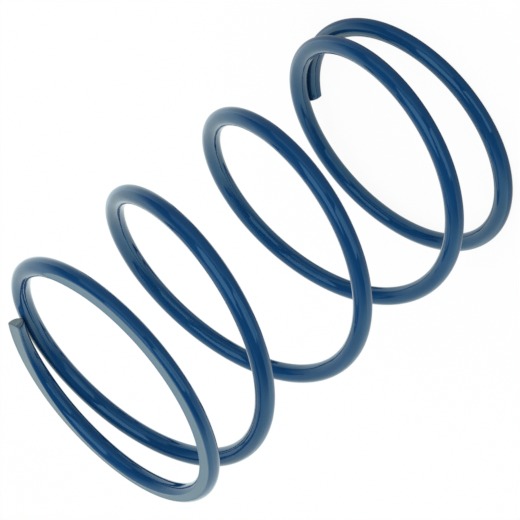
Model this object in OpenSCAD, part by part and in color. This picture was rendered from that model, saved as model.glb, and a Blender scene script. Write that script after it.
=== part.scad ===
// Torque spring: one length of round wire wound into a coil, with both end coils closed and ground flat.
// It stands on its lower seat. The origin is the middle of that seat and +Z runs along the coil.

/* [Coil] */
// Diameter over the outside of the coil
coil_od = 56.8; // [44:0.2:80]
// Free length between the two ground seats
free_length = 90; // [70:0.5:130]
// Turns of wire from tip to tip
total_turns = 5.02; // [4:0.02:6]
// Hand of the coil
hand = "left"; // [left, right]
// Sideways bow of the coil axis at half its length
axis_bow = 0.35; // [0:0.05:1]
// Direction of that bow around the coil, from +X
bow_direction = 265; // [0:5:355]

/* [Wire] */
// Diameter of the wire
wire_d = 3.8; // [2.8:0.1:5]

/* [Ends] */
// Depth ground off each level end coil
grind_depth = 0.46; // [0.3:0.02:0.8]
// Angle from the tip over which the end coil lies level
seat_angle = 188; // [120:2:220]
// Angle over which the wire then lifts to the full pitch
lift_angle = 306; // [200:2:330]
// Angle at the tip over which the wire bows away from the next turn
tip_angle = 75; // [40:5:110]
// Gap between the tip and the turn beside it
tip_gap = 0.2; // [0.1:0.05:1]
// Inward curl of the upper tip
tip_curl = 0.9; // [0:0.1:1.2]
// Angle over which the upper tip curls in
curl_angle = 60; // [40:5:90]
// Skew of the cut across the wire at both tips
cut_skew = 17; // [0:1:25]

/* [Smoothness] */
// Sides of the wire section
wire_sides = 16; // [12:2:16]
// Wire sections in each turn
sections_per_turn = 64; // [40:4:64]

/* [Hidden] */

full_turn = 360;
wire_r = wire_d / 2;
coil_r = (coil_od - wire_d) / 2;
turn_sign = hand == "left" ? -1 : 1;
total_angle = total_turns * full_turn;
bow_side = [cos(bow_direction), sin(bow_direction), 0];

// The level end coil sits with its axis this far above the ground seat
seat_height = wire_r - grind_depth;

// The lift counts as half its angle at full pitch, so the rest of the length fixes the pitch
full_pitch_angle = total_angle - 2 * seat_angle - lift_angle;
rise_per_degree = (free_length - 2 * seat_height) / full_pitch_angle;

// The tip bows out just enough to clear the turn beside it
tip_bow = max(0, wire_d + tip_gap - lift_rise(full_turn));

// Sections along the wire, and the small step that gives its direction there
section_count = ceil(total_turns * sections_per_turn);
section_step = total_angle / section_count;
direction_step = 0.5;

// Shift along the wire for each millimetre across it, at the skewed cuts
cut_slope = tan(cut_skew);

// Width of the stock that is left between the two grinding planes
ground_width = coil_od + 2 * wire_d;

spring_blue = [0.10, 0.27, 0.45];

// Axial rise of an end coil above its level part, at an angle from the tip.
// The pitch grows from nothing to its full value along a smooth step.
function lift_rise(angle) =
    let (
        share = min(max((angle - seat_angle) / lift_angle, 0), 1),
        beyond = max(angle - seat_angle - lift_angle, 0)
    )
    rise_per_degree * (lift_angle * (pow(share, 3) - pow(share, 4) / 2) + beyond);

// Height of the wire axis above the seat of the end that it starts from
function end_height(angle) =
    seat_height + lift_rise(angle) - tip_bow * pow(max(1 - angle / tip_angle, 0), 2);

// Height of the wire axis above the lower seat: the two ends are alike
function wire_height(angle) =
    angle < total_angle / 2 ? end_height(angle) : free_length - end_height(total_angle - angle);

// Distance of the wire axis from the coil axis
function wind_radius(angle) =
    coil_r - tip_curl * pow(max(1 - (total_angle - angle) / curl_angle, 0), 2);

// Direction straight out from the coil axis
function outward(angle) = [cos(turn_sign * angle), sin(turn_sign * angle), 0];

// A point of the straight coil, moved to where the bowed coil has it.
// The axis bends to a parabola, and each turn leans with it.
function bowed(point) =
    let (
        from_middle = 2 * point.z / free_length - 1,
        shift = axis_bow * (1 - pow(from_middle, 2)),
        lean = -4 * axis_bow * from_middle / free_length
    )
    point + shift * bow_side - [0, 0, lean * (point * bow_side)];

// Point on the wire axis
function wire_point(angle) = bowed(wind_radius(angle) * outward(angle) + [0, 0, wire_height(angle)]);

// Direction along the wire
function along(angle) =
    let (chord = wire_point(angle + direction_step) - wire_point(angle - direction_step))
    chord / norm(chord);

// Outline of the wire: square to its direction where the slope is nothing, and skewed at the cuts
function wire_section(angle, slope) =
    let (
        middle = wire_point(angle),
        ahead = along(angle),
        out = outward(angle),
        side = cross(ahead, out)
    )
    [
        for (corner = [0 : wire_sides - 1])
            let (turn = full_turn * (corner + 0.5) / wire_sides)
            middle + wire_r * (cos(turn) * (out - slope * ahead) + sin(turn) * side)
    ];

// The wire as wound, before its ends are ground
module wound_wire() {
    points = [
        for (section = [0 : section_count])
            let (at_cut = section == 0 || section == section_count)
            each wire_section(section * section_step, at_cut ? cut_slope : 0)
    ];
    walls = [
        for (section = [0 : section_count - 1], corner = [0 : wire_sides - 1])
            let (
                next_corner = (corner + 1) % wire_sides,
                a = section * wire_sides + corner,
                b = section * wire_sides + next_corner
            )
            each [[a, b + wire_sides, b], [a, a + wire_sides, b + wire_sides]]
    ];
    first_cut = [for (corner = [0 : wire_sides - 1]) corner];
    last_cut = [for (corner = [0 : wire_sides - 1]) (section_count + 1) * wire_sides - 1 - corner];
    polyhedron(points, concat([first_cut], walls, [last_cut]));
}

// The space between the two grinding planes
module between_grinding_planes() {
    translate([0, 0, free_length / 2])
        cube([ground_width, ground_width, free_length], center = true);
}

module spring() {
    color(spring_blue)
        intersection() {
            wound_wire();
            between_grinding_planes();
        }
}

spring();
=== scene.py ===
import bpy
import math
from mathutils import Matrix, Vector


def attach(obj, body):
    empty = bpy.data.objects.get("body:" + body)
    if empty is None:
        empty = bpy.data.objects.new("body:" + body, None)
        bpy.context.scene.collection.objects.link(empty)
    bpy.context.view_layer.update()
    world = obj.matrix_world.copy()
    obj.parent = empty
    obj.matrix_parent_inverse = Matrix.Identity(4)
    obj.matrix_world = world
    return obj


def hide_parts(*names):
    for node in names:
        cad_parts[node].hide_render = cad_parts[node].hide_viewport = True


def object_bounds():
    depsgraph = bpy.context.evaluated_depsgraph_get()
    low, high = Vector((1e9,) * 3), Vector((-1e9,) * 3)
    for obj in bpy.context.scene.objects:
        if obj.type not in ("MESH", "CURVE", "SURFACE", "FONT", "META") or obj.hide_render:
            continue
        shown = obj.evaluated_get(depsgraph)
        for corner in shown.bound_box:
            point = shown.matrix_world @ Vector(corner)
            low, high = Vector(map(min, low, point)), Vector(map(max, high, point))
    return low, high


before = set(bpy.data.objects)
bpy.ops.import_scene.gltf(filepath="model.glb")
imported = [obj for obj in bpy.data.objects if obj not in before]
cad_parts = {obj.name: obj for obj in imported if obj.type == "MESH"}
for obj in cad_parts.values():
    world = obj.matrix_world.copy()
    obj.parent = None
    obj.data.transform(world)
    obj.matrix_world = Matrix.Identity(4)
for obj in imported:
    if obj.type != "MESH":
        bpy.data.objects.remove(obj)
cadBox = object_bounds()
springHeight = cadBox[1][2] - cadBox[0][2]
print("frame loaded, box", [tuple(round(c, 4) for c in corner) for corner in cadBox])

scene = bpy.context.scene
scene.view_settings.view_transform = "Standard"


# small helpers: a number in a node tree that can be added, scaled and compared like a plain one
def plug(tree, value, slot):
    if isinstance(value, nodeTerm):
        tree.links.new(value.socket, slot)
    elif isinstance(value, bpy.types.NodeSocket):
        tree.links.new(value, slot)
    else:
        slot.default_value = value


class nodeTerm:
    def __init__(self, tree, socket):
        self.tree = tree
        self.socket = socket

    def step(self, kind, *others):
        node = self.tree.nodes.new("ShaderNodeMath")
        node.operation = kind
        for slot, value in zip(node.inputs, (self,) + others):
            plug(self.tree, value, slot)
        return nodeTerm(self.tree, node.outputs[0])

    def __add__(self, other):
        return self.step("ADD", other)

    def __sub__(self, other):
        return self.step("SUBTRACT", other)

    def __rsub__(self, other):
        return self.step("MULTIPLY_ADD", -1.0, other)

    def __mul__(self, other):
        return self.step("MULTIPLY", other)

    def __truediv__(self, other):
        return self.step("DIVIDE", other)

    def __pow__(self, power):
        return self.step("POWER", power)

    __radd__ = __add__
    __rmul__ = __mul__

    def above(self, other):
        return self.step("GREATER_THAN", other)

    def least(self, other):
        return self.step("MINIMUM", other)

    def most(self, other):
        return self.step("MAXIMUM", other)

    def share(self):  # held between 0 and 1
        return self.least(1.0).most(0.0)

    def sin(self):
        return self.step("SINE")

    def cos(self):
        return self.step("COSINE")

    def blend(self, off, on):  # off where self is 0, on where it is 1
        return self * on + (1.0 - self) * off


def newTree(name, kind, inputs, outputs):
    tree = bpy.data.node_groups.new(name, kind)
    for label, socketKind in inputs:
        tree.interface.new_socket(label, in_out="INPUT", socket_type=socketKind)
    for label, socketKind in outputs:
        tree.interface.new_socket(label, in_out="OUTPUT", socket_type=socketKind)
    return tree, tree.nodes.new("NodeGroupInput"), tree.nodes.new("NodeGroupOutput")


def vectorStep(tree, kind, *values):
    node = tree.nodes.new("ShaderNodeVectorMath")
    node.operation = kind
    for slot, value in zip([s for s in node.inputs if s.enabled], values):
        plug(tree, value, slot)
    return node.outputs["Value"] if kind in ("DOT_PRODUCT", "LENGTH") else node.outputs["Vector"]


def vectorOf(tree, x, y, z):
    node = tree.nodes.new("ShaderNodeCombineXYZ")
    for slot, value in zip(node.inputs, (x, y, z)):
        plug(tree, value, slot)
    return node.outputs[0]


def partOf(tree, vector, axis):
    node = tree.nodes.new("ShaderNodeSeparateXYZ")
    plug(tree, vector, node.inputs[0])
    return nodeTerm(tree, node.outputs[axis])


def mixColour(tree, factor, first, second):
    node = tree.nodes.new("ShaderNodeMix")
    node.data_type = "RGBA"
    plug(tree, factor, node.inputs[0])
    plug(tree, first, node.inputs[6])
    plug(tree, second, node.inputs[7])
    return node.outputs[2]


# the spring: metres and degrees, as in the part's source, with the rounding of its edges added
springSizes = {
    "coilDiameter": 0.0568,
    "freeLength": springHeight,
    "turns": 5.02,
    "wireDiameter": 0.0038,
    "grindDepth": 0.00046,
    "seatAngle": 188.0,
    "liftAngle": 306.0,
    "tipAngle": 75.0,
    "tipGap": 0.0002,
    "tipCurl": 0.0009,  # the upper tip curls in
    "curlAngle": 60.0,
    "cutSkew": 17.0,
    "skewFade": 5.5,  # angle behind the cut over which its skew fades out
    "axisBow": 0.00035,
    "bowDirection": 265.0,
    "groundEdge": 0.00032,  # rounding of the ground edges at the tips
    "groundFade": 0.00015,  # how much it grows by the end of the flat
    "fadeStart": 40.0,  # angle from the tip where it starts to grow
    "tipEdge": 0.00016,  # rounding of the cut tips
}
springMesh = {
    "sections": 900,  # rings along the wire
    "flatColumns": 4,  # columns on half of a ground flat
    "edgeColumns": 3,  # columns over a ground edge
    "sideColumns": 14,  # columns on one round side
}
edgeRings = 2  # rings on the rounded edge of a cut tip
cutRings = (0.93, 0.5, 0.0)  # rings that close the cut, as shares of its radius
tipRows = edgeRings + len(cutRings)


def coilPathTree():
    inputs = [("angle", "NodeSocketFloat")] + [(name, "NodeSocketFloat") for name in springSizes]
    outputs = [("point", "NodeSocketVector")]
    tree, groupIn, groupOut = newTree("coilPath", "GeometryNodeTree", inputs, outputs)
    size = {name: nodeTerm(tree, groupIn.outputs[name]) for name in ["angle"] + list(springSizes)}
    coilRadius = (size["coilDiameter"] - size["wireDiameter"]) * 0.5
    totalAngle = size["turns"] * 360.0
    seatHeight = size["wireDiameter"] * 0.5 - size["grindDepth"]
    pitchAngle = totalAngle - size["seatAngle"] * 2.0 - size["liftAngle"]
    slope = (size["freeLength"] - seatHeight * 2.0) / pitchAngle

    def rise(angle):  # the pitch grows from nothing to its full value along a smooth step
        past = angle - size["seatAngle"]
        part = (past / size["liftAngle"]).share()
        beyond = (past - size["liftAngle"]).most(0.0)
        return slope * (size["liftAngle"] * (part ** 3 - part ** 4 * 0.5) + beyond)

    fullTurn = tree.nodes.new("ShaderNodeValue")
    fullTurn.outputs[0].default_value = 360.0
    tipBow = (size["wireDiameter"] + size["tipGap"] - rise(nodeTerm(tree, fullTurn.outputs[0]))).most(0.0)
    fromTip = size["angle"].least(totalAngle - size["angle"])
    endHeight = seatHeight + rise(fromTip) - tipBow * (1.0 - fromTip / size["tipAngle"]).most(0.0) ** 2
    upperHalf = size["angle"].above(totalAngle * 0.5)
    height = upperHalf.blend(endHeight, size["freeLength"] - endHeight)

    curl = (1.0 - (totalAngle - size["angle"]) / size["curlAngle"]).most(0.0) ** 2
    windRadius = coilRadius - size["tipCurl"] * curl
    azimuth = size["angle"].step("RADIANS") * -1.0  # left-hand coil
    bowAngle = size["bowDirection"].step("RADIANS")
    bowX, bowY = bowAngle.cos(), bowAngle.sin()
    x, y = windRadius * azimuth.cos(), windRadius * azimuth.sin()
    fromMiddle = height * 2.0 / size["freeLength"] - 1.0
    shift = size["axisBow"] * (1.0 - fromMiddle ** 2)
    lean = size["axisBow"] * fromMiddle * -4.0 / size["freeLength"]
    point = vectorOf(tree, x + shift * bowX, y + shift * bowY, height - lean * (x * bowX + y * bowY))
    tree.links.new(point, groupOut.inputs["point"])
    return tree


def springTree():
    path = coilPathTree()
    inputs = [(name, "NodeSocketFloat") for name in springSizes]
    inputs += [(name, "NodeSocketInt") for name in springMesh] + [("paint", "NodeSocketMaterial")]
    outputs = [("Geometry", "NodeSocketGeometry")]
    tree, groupIn, groupOut = newTree("woundSpring", "GeometryNodeTree", inputs, outputs)
    size = {name: nodeTerm(tree, groupIn.outputs[name]) for name in list(springSizes) + list(springMesh)}
    flat, edge, side = size["flatColumns"], size["edgeColumns"], size["sideColumns"]
    halfColumns = (flat + edge) * 2.0 + side
    rows = size["sections"] + 2.0 * tipRows

    grid = tree.nodes.new("GeometryNodeMeshGrid")  # rows along the wire, columns around it
    grid.inputs["Size X"].default_value = 1.0
    grid.inputs["Size Y"].default_value = 1.0
    plug(tree, rows + 1.0, grid.inputs["Vertices X"])
    plug(tree, halfColumns * 2.0 + 1.0, grid.inputs["Vertices Y"])
    place = tree.nodes.new("GeometryNodeInputPosition").outputs[0]
    row = ((partOf(tree, place, "X") + 0.5) * rows).step("ROUND")
    column = ((partOf(tree, place, "Y") + 0.5) * halfColumns * 2.0).step("ROUND")

    # where each ring is along the wire, and how far it is drawn in to close a tip
    wireRadius = size["wireDiameter"] * 0.5
    coilRadius = (size["coilDiameter"] - size["wireDiameter"]) * 0.5
    totalAngle = size["turns"] * 360.0
    edgeAngle = (size["tipEdge"] / coilRadius).step("DEGREES")
    station = (row - float(tipRows)).most(0.0).least(size["sections"]) / size["sections"]
    inTip = (float(tipRows) - row).most(row - float(tipRows) - size["sections"]).most(0.0)
    turnIn = inTip.least(float(edgeRings)) * (math.pi / 2 / edgeRings)
    atUpperTip = station.above(0.5) * 2.0 - 1.0
    angle = edgeAngle + (totalAngle - edgeAngle * 2.0) * station + atUpperTip * edgeAngle * turnIn.sin()
    drawnIn = 1.0
    for ring, (before, after) in enumerate(zip((1.0,) + cutRings, cutRings)):
        drawnIn = drawnIn - (inTip - float(edgeRings + ring)).share() * (before - after)
    shrink = (1.0 - size["tipEdge"] / wireRadius * (1.0 - turnIn.cos())) * drawnIn

    def pathPoint(atAngle):
        node = tree.nodes.new("GeometryNodeGroup")
        node.node_tree = path
        plug(tree, atAngle, node.inputs["angle"])
        for name in springSizes:
            tree.links.new(groupIn.outputs[name], node.inputs[name])
        return node.outputs["point"]

    middle = pathPoint(angle)
    chordHalf = 0.5  # degrees to each side that give the wire's direction
    chord = vectorStep(tree, "SUBTRACT", pathPoint(angle + chordHalf), pathPoint(angle - chordHalf))
    along = vectorStep(tree, "NORMALIZE", chord)
    azimuth = angle.step("RADIANS") * -1.0
    outward = vectorOf(tree, azimuth.cos(), azimuth.sin(), 0.0)
    upward = vectorStep(tree, "CROSS_PRODUCT", along, outward)
    upZ = partOf(tree, upward, "Z")
    middleZ = partOf(tree, middle, "Z")

    # outline of the wire in half a ring, measured from straight down: ground flat, rounded edge, round side
    fromTip = angle.least(totalAngle - angle)
    grown = ((fromTip - size["fadeStart"]) / size["seatAngle"]).share()
    groundEdge = size["groundEdge"] + size["groundFade"] * grown
    innerRadius = wireRadius - groundEdge

    def groundAngles(depth):  # depth: wire axis to the grinding plane
        edgeEnd = ((depth - groundEdge) / innerRadius).least(1.0).most(-1.0).step("ARCCOSINE")
        flatEnd = (innerRadius * edgeEnd.sin()).step("ARCTAN2", depth)
        return flatEnd, edgeEnd

    lowDepth = middleZ / upZ
    topDepth = (size["freeLength"] - middleZ) / upZ
    lowFlat, lowEdge = groundAngles(lowDepth)
    topFlat, topEdge = groundAngles(topDepth)
    leastTurn = math.radians(9)  # the columns keep this width where nothing is ground
    lowFlatColumn = lowFlat.most(leastTurn)
    lowEdgeColumn = lowEdge.most(lowFlatColumn + leastTurn)
    topFlatColumn = topFlat.most(leastTurn)
    topEdgeColumn = topEdge.most(topFlatColumn + leastTurn)

    firstHalf = 1.0 - column.above(halfColumns)
    hand = firstHalf * 2.0 - 1.0
    fromDown = column.least(halfColumns * 2.0 - column)
    onFlat = (fromDown / flat).share()
    onEdge = ((fromDown - flat) / edge).share()
    onSide = ((fromDown - flat - edge) / side).share()
    onTopEdge = ((fromDown - flat - edge - side) / edge).share()
    onTopFlat = ((fromDown - flat - edge * 2.0 - side) / flat).share()
    around = lowFlatColumn * (1.0 - (1.0 - onFlat) ** 2)
    around = around + (lowEdgeColumn - lowFlatColumn) * onEdge
    around = around + (math.pi - topEdgeColumn - lowEdgeColumn) * onSide
    around = around + (topEdgeColumn - topFlatColumn) * onTopEdge
    around = around + topFlatColumn * onTopFlat ** 2

    leastCosine = 0.02  # keeps the reach finite at the sides

    def reach(turn, depth, flatEnd, edgeEnd):  # distance from the wire axis to its skin
        toFlat = depth / turn.cos().most(leastCosine)
        offEdge = turn - edgeEnd
        across = innerRadius * offEdge.sin()
        toEdge = innerRadius * offEdge.cos() + (groundEdge ** 2 - across ** 2).most(0.0).step("SQRT")
        inEdge = turn.above(flatEnd) * edgeEnd.above(turn)
        return inEdge.blend(wireRadius.least(toFlat), toEdge)

    lowReach = reach(around, lowDepth, lowFlat, lowEdge)
    topReach = reach(math.pi - around, topDepth, topFlat, topEdge)
    radius = lowReach.least(topReach) * shrink
    across = hand * radius * around.sin()
    nearCut = (1.0 - fromTip / size["skewFade"]).share()
    skewed = across * nearCut * size["cutSkew"].step("RADIANS").step("TANGENT") * -1.0
    skinPoint = middle
    for direction, distance in [(outward, across), (upward, radius * around.cos() * -1.0), (along, skewed)]:
        skinPoint = vectorStep(tree, "ADD", skinPoint, vectorStep(tree, "SCALE", direction, distance))

    # coordinates of the wire as if it lay straight, and masks of the ground flats and cut tips
    maskStart = 0.9  # share of the flat where its mask starts to fade
    leastFade, leastFlat = 0.05, 0.02  # radians around the wire

    def groundMask(turn, flatEnd, edgeEnd):  # fades out over the rounded edge
        fade = (edgeEnd - flatEnd * maskStart).most(leastFade)
        return ((edgeEnd - turn) / fade).share() * flatEnd.above(leastFlat)

    lowGround = groundMask(around, lowFlat, lowEdge)
    topGround = groundMask(math.pi - around, topFlat, topEdge)
    straight = vectorOf(tree, coilRadius * angle.step("RADIANS"), radius * around.cos() * -1.0, across)
    stored = grid.outputs["Mesh"]
    fields = [
        ("wirePlace", "FLOAT_VECTOR", straight),
        ("groundFlat", "FLOAT", lowGround.most(topGround)),
        ("cutTip", "FLOAT", inTip.above(edgeRings - 0.5)),
        ("fromTip", "FLOAT", coilRadius * fromTip.step("RADIANS")),
    ]
    for name, kind, value in fields:
        node = tree.nodes.new("GeometryNodeStoreNamedAttribute")
        node.data_type = kind
        node.inputs["Name"].default_value = name
        plug(tree, value, node.inputs["Value"])
        tree.links.new(stored, node.inputs["Geometry"])
        stored = node.outputs["Geometry"]
    shaped = tree.nodes.new("GeometryNodeSetPosition")
    tree.links.new(stored, shaped.inputs["Geometry"])
    tree.links.new(skinPoint, shaped.inputs["Position"])

    merged = tree.nodes.new("GeometryNodeMergeByDistance")  # closes the seam and the tips
    merged.inputs["Distance"].default_value = 1e-6
    flipped = tree.nodes.new("GeometryNodeFlipFaces")
    smooth = tree.nodes.new("GeometryNodeSetShadeSmooth")
    realized = tree.nodes.new("GeometryNodeRealizeInstances")
    painted = tree.nodes.new("GeometryNodeSetMaterial")
    tree.links.new(groupIn.outputs["paint"], painted.inputs["Material"])
    chain = [shaped, merged, flipped, smooth, realized, painted]
    for first, second in zip(chain, chain[1:]):
        tree.links.new(first.outputs[0], second.inputs[0])
    tree.links.new(painted.outputs[0], groupOut.inputs["Geometry"])
    return tree


paintFinish = {
    "blue": (0.0047, 0.0560, 0.166, 1.0),
    "darkBlue": (0.0026, 0.0390, 0.130, 1.0),
    "mottleShade": 1.5,  # how strongly the patches and the drawing lines change the blue
    "streakShade": 0.9,
    "darkShare": 0.75,
    "groundGrey": (0.138, 0.180, 0.212, 1.0),  # thin paint on the flat, near the tip
    "groundBlue": (0.084, 0.148, 0.207, 1.0),  # and further round
    "groundCover": 0.8,
    "coverPatches": 0.3,
    "thinLength": 0.1,  # from the tip to where the thin paint is bluest
    "tipGrey": (0.170, 0.195, 0.205, 1.0),  # bare steel on the cut tips
    "tipPaintedShade": (0.045, 0.062, 0.074, 1.0),  # painted shade on the cut's inward half, towards the next turn
    "tipBare": 0.9,
    "shadeLine": 0.0009,  # where the painted shade starts, in from the wire's middle
    "shadeWaver": 0.0012,
    "shadeFade": 0.0006,
    "specularLevel": 1.0,
    "specularTint": (0.40, 0.80, 1.0, 1.0),  # the gloss is tinted face on, and white at a low angle
    "roughness": 0.07,
    "patchRoughness": 0.08,  # how much it varies from patch to patch
    "groundRoughness": 0.07,  # added on the flats
    "grindRoughness": 0.10,  # and along the grinding marks
    "tipRoughness": 0.25,  # added on the cut tips
    "streakDepth": 0.000012,
    "waveDepth": 0.00012,
    "peelDepth": 0.000006,
    "nibDepth": 0.00004,  # specks under the paint
    "nibScale": 210.0,
    "nibSharpness": 18.0,
    "grindDepth": 0.000010,
    "grindTurn": 0.6,
}
paintTextures = {  # cells in a metre, stretch and fineness
    "streaks": (2000.0, (0.02, 1.0, 1.0), 2.0),  # drawing lines of the wire, seen through the paint
    "waves": (620.0, (0.2, 1.0, 1.0), 1.0),  # slow waves where the paint ran along the wire
    "mottle": (110.0, (1.0, 1.0, 1.0), 3.0),  # lighter and darker patches
    "peel": (1400.0, (1.0, 1.0, 1.0), 1.0),  # orange peel
    "grinding": (4200.0, (1.0, 0.04, 1.0), 2.0),  # marks of the grinding wheel
}


def paintMaterial():
    finish = paintFinish
    material = bpy.data.materials.new("bluePaint")
    material.use_nodes = True
    tree = material.node_tree
    shader = tree.nodes["Principled BSDF"]

    def attribute(name):
        node = tree.nodes.new("ShaderNodeAttribute")
        node.attribute_name = name
        return node

    def noise(name, vector, turn=0.0):
        scale, stretch, detail = paintTextures[name]
        mapping = tree.nodes.new("ShaderNodeMapping")
        tree.links.new(vector, mapping.inputs["Vector"])
        mapping.inputs["Scale"].default_value = stretch
        mapping.inputs["Rotation"].default_value = (0.0, 0.0, turn)
        node = tree.nodes.new("ShaderNodeTexNoise")
        tree.links.new(mapping.outputs["Vector"], node.inputs["Vector"])
        node.inputs["Scale"].default_value = scale
        node.inputs["Detail"].default_value = detail
        return nodeTerm(tree, node.outputs["Fac"])

    wirePlace = attribute("wirePlace").outputs["Vector"]  # metres along the wire and across it
    ground = nodeTerm(tree, attribute("groundFlat").outputs["Fac"])
    tip = nodeTerm(tree, attribute("cutTip").outputs["Fac"])
    fromTip = nodeTerm(tree, attribute("fromTip").outputs["Fac"])
    across = partOf(tree, wirePlace, "Z")

    streaks = noise("streaks", wirePlace)
    waves = noise("waves", wirePlace)
    mottle = noise("mottle", wirePlace)
    peel = noise("peel", wirePlace)
    specks = tree.nodes.new("ShaderNodeTexVoronoi")
    tree.links.new(wirePlace, specks.inputs["Vector"])
    specks.inputs["Scale"].default_value = finish["nibScale"]
    nibs = (1.0 - nodeTerm(tree, specks.outputs["Distance"]) * finish["nibSharpness"]).share() ** 2
    flatPlace = tree.nodes.new("ShaderNodeTexCoord").outputs["Object"]
    grinding = noise("grinding", flatPlace, finish["grindTurn"])

    # blue paint, a little darker along the drawing lines, thin on the ground flats and none on the cuts,
    # whose inward half gets painted shade
    shade = (mottle * finish["mottleShade"] + streaks * finish["streakShade"] - finish["darkShare"]).share()
    colour = mixColour(tree, shade, finish["darkBlue"], finish["blue"])
    bluer = (fromTip / finish["thinLength"]).share()
    thin = mixColour(tree, bluer, finish["groundGrey"], finish["groundBlue"])
    patches = (mottle - 0.5 + (grinding - 0.5) * 0.5) * finish["coverPatches"]
    colour = mixColour(tree, (ground * (patches + finish["groundCover"])).share(), colour, thin)
    # painted shade: the cut face is darker on its inward side, towards the next turn, with a wavering edge
    cutShade = ((mottle * finish["shadeWaver"] - across - finish["shadeLine"]) / finish["shadeFade"]).share()
    steel = mixColour(tree, cutShade, finish["tipGrey"], finish["tipPaintedShade"])
    colour = mixColour(tree, tip * finish["tipBare"], colour, steel)
    tree.links.new(colour, shader.inputs["Base Color"])
    rough = (mottle - 0.5) * finish["patchRoughness"] + finish["roughness"]
    rough = rough + ground * (grinding * finish["grindRoughness"] + finish["groundRoughness"])
    plug(tree, rough + tip * finish["tipRoughness"], shader.inputs["Roughness"])
    shader.inputs["IOR"].default_value = 1.5
    shader.inputs["Specular IOR Level"].default_value = finish["specularLevel"]
    shader.inputs["Specular Tint"].default_value = finish["specularTint"]

    height = peel * finish["peelDepth"] + nibs * finish["nibDepth"]
    height = height + (1.0 - ground) * (streaks * finish["streakDepth"] + waves * finish["waveDepth"])
    height = height + ground * grinding * finish["grindDepth"]
    bump = tree.nodes.new("ShaderNodeBump")
    bump.inputs["Distance"].default_value = 1.0
    bump.inputs["Strength"].default_value = 1.0
    plug(tree, height, bump.inputs["Height"])
    tree.links.new(bump.outputs["Normal"], shader.inputs["Normal"])
    return material


def makeSpring():
    paint = paintMaterial()
    tree = springTree()
    holder = bpy.data.objects.new("springRule", bpy.data.meshes.new("springRule"))
    scene.collection.objects.link(holder)
    modifier = holder.modifiers.new("woundSpring", "NODES")
    modifier.node_group = tree
    values = dict(springSizes, **springMesh)
    for item in tree.interface.items_tree:
        if item.item_type == "SOCKET" and item.in_out == "INPUT":
            modifier[item.identifier] = values.get(item.name, paint)
    bpy.context.view_layer.update()
    evaluated = holder.evaluated_get(bpy.context.evaluated_depsgraph_get())
    mesh = bpy.data.meshes.new_from_object(evaluated)
    mesh.name = "torque_spring"
    spring = bpy.data.objects.new("torque_spring", mesh)
    scene.collection.objects.link(spring)
    holder.modifiers.remove(modifier)
    bpy.data.objects.remove(holder)
    print("spring made,", len(mesh.polygons), "faces")
    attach(spring, "root")
    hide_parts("spring")


makeSpring()


# camera at the photo's viewing angle
cameraView = {
    "position": (-0.247664, -0.262771, 0.237813),
    "right": (-0.713169, 0.177141, -0.678241),
    "down": (-0.353689, 0.744429, 0.56633),
    "lens": 141.43,
}


def makeCamera():
    right = Vector(cameraView["right"]).normalized()
    up = -Vector(cameraView["down"]).normalized()
    back = right.cross(up).normalized()
    up = back.cross(right)
    data = bpy.data.cameras.new("photoCamera")
    data.lens = cameraView["lens"]
    data.sensor_width = 36.0
    data.sensor_fit = "HORIZONTAL"
    data.clip_start = 0.01
    data.clip_end = 50.0
    camera = bpy.data.objects.new("photoCamera", data)
    turn = Matrix((right, up, back)).transposed()
    camera.matrix_world = Matrix.Translation(cameraView["position"]) @ turn.to_4x4()
    scene.collection.objects.link(camera)
    scene.camera = camera


makeCamera()
print("camera set")

# pale floor and studio light
studio = {
    "floorHalf": 3.0,
    "floorGap": 0.0002,
    "floorColour": (0.52, 0.52, 0.52, 1.0),
    "floorToCamera": 1.04,  # with the floor's own shading it comes out white
    "shadowShare": 0.10,  # how much of the floor's own shading the camera sees
    "middle": (0.0, 0.0, springHeight / 2),
    "ambient": (0.16, 1.16),  # soft light at the horizon, and how much it grows towards the top
    "backdropWhite": (0.95, 1.0, 0.84, 1.0),  # the white surround as the gloss sees it
    "floorWhite": (0.92, 1.0, 0.97, 1.0),
    "lampColour": (0.86, 1.0, 1.10),
    "whiteSide": (0.423, 0.906, 0.0),  # it stands behind the spring
    "whiteLevel": 1.17,
    "whiteFall": 0.58,  # how far it falls off towards straight up and down
    "backdrop": {"range": (-0.2, 0.48), "dark": 0.045},  # the room in front is dark
    "floor": {"range": (-0.68, 0.42), "dark": 0.22},
}
softboxes = {  # places and sizes in metres
    "leftBox": {"place": (-0.152, -0.54, 0.748), "size": (0.68, 0.62), "radiance": 1.05},
    "rightBox": {"place": (-0.81, -0.38, 0.20), "size": (0.62, 0.46), "radiance": 0.95},
    "lowCard": {
        "place": (-0.27, -0.13, 0.001), "target": (-0.27, -0.13, 1.0), "size": (0.24, 0.24), "radiance": 0.7,
    },
    "frontCard": {"place": (0.0, -1.0, 0.10), "size": (1.3, 0.7), "radiance": 0.4},
    "topBox": {"place": (0.12, 0.12, 1.24), "size": (0.8, 0.8), "radiance": 1.2, "inGloss": False},
}


def surround(tree, direction, fade):  # what the gloss sees in a direction
    facing = tree.nodes.new("ShaderNodeMapRange")
    facing.interpolation_type = "SMOOTHSTEP"
    plug(tree, vectorStep(tree, "DOT_PRODUCT", direction, studio["whiteSide"]), facing.inputs["Value"])
    facing.inputs["From Min"].default_value, facing.inputs["From Max"].default_value = fade["range"]
    steep = partOf(tree, direction, "Z").step("ABSOLUTE")
    white = nodeTerm(tree, facing.outputs["Result"]) * (1.0 - steep * studio["whiteFall"])
    return white * studio["whiteLevel"] + fade["dark"]


def rayKinds(tree):
    path = tree.nodes.new("ShaderNodeLightPath")
    camera = nodeTerm(tree, path.outputs["Is Camera Ray"])
    glossy = nodeTerm(tree, path.outputs["Is Glossy Ray"])
    return camera, glossy.most(nodeTerm(tree, path.outputs["Is Transmission Ray"]))


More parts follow.
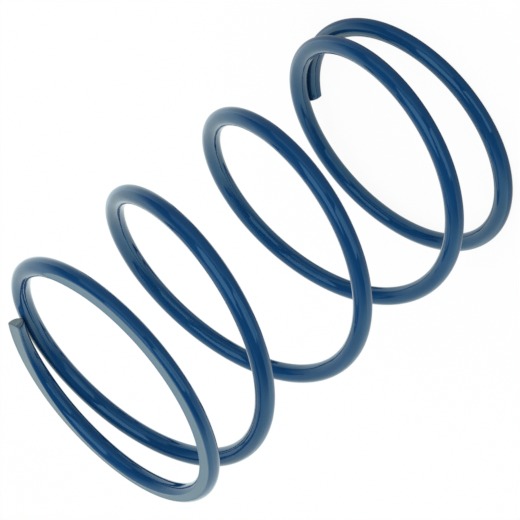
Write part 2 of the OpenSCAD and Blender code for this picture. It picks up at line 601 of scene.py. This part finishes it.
def makeFloor():
    half, low = studio["floorHalf"], -studio["floorGap"]
    mesh = bpy.data.meshes.new("studio_floor")
    corners = [(-half, -half, low), (half, -half, low), (half, half, low), (-half, half, low)]
    mesh.from_pydata(corners, [], [(0, 1, 2, 3)])
    floor = bpy.data.objects.new("studio_floor", mesh)
    scene.collection.objects.link(floor)
    material = bpy.data.materials.new("paleFloor")
    material.use_nodes = True
    tree = material.node_tree
    matt = tree.nodes["Principled BSDF"]
    matt.inputs["Base Color"].default_value = studio["floorColour"]
    matt.inputs["Roughness"].default_value = 0.9
    place = tree.nodes.new("ShaderNodeTexCoord").outputs["Object"]
    direction = vectorStep(tree, "NORMALIZE", vectorStep(tree, "SUBTRACT", place, studio["middle"]))
    camera, mirrored = rayKinds(tree)
    white = tree.nodes.new("ShaderNodeEmission")
    plug(tree, mixColour(tree, camera, studio["floorWhite"], (1.0, 1.0, 1.0, 1.0)), white.inputs["Color"])
    strength = camera.blend(surround(tree, direction, studio["floor"]), studio["floorToCamera"])
    plug(tree, strength, white.inputs["Strength"])
    mix = tree.nodes.new("ShaderNodeMixShader")
    plug(tree, mirrored.most(camera * (1.0 - studio["shadowShare"])), mix.inputs[0])
    tree.links.new(matt.outputs[0], mix.inputs[1])
    tree.links.new(white.outputs[0], mix.inputs[2])
    tree.links.new(mix.outputs[0], tree.nodes["Material Output"].inputs["Surface"])
    mesh.materials.append(material)


def makeWorld():
    world = bpy.data.worlds.new("studioWorld")
    scene.world = world
    world.use_nodes = True
    tree = world.node_tree
    background = tree.nodes["Background"]
    direction = tree.nodes.new("ShaderNodeTexCoord").outputs["Generated"]
    camera, mirrored = rayKinds(tree)
    colour = mixColour(tree, mirrored, (1.0, 1.0, 1.0, 1.0), studio["backdropWhite"])
    tree.links.new(colour, background.inputs["Color"])
    low, growth = studio["ambient"]
    ambient = partOf(tree, direction, "Z").step("ABSOLUTE") * growth + low
    light = mirrored.blend(ambient, surround(tree, direction, studio["backdrop"]))
    plug(tree, camera.blend(light, 1.0), background.inputs["Strength"])


def makeSoftbox(name, box):
    data = bpy.data.lights.new(name, "AREA")
    data.shape = "RECTANGLE"
    data.size, data.size_y = box["size"]
    data.energy = box["radiance"] * math.pi * data.size * data.size_y
    data.color = studio["lampColour"]
    lamp = bpy.data.objects.new(name, data)
    lamp.location = box["place"]
    facing = Vector(box.get("target", studio["middle"])) - lamp.location
    lamp.rotation_euler = facing.to_track_quat("-Z", "Y").to_euler()
    lamp.visible_camera = False
    lamp.visible_glossy = box.get("inGloss", True)
    scene.collection.objects.link(lamp)


makeFloor()
makeWorld()
for name, box in softboxes.items():
    makeSoftbox(name, box)
print("studio lit")
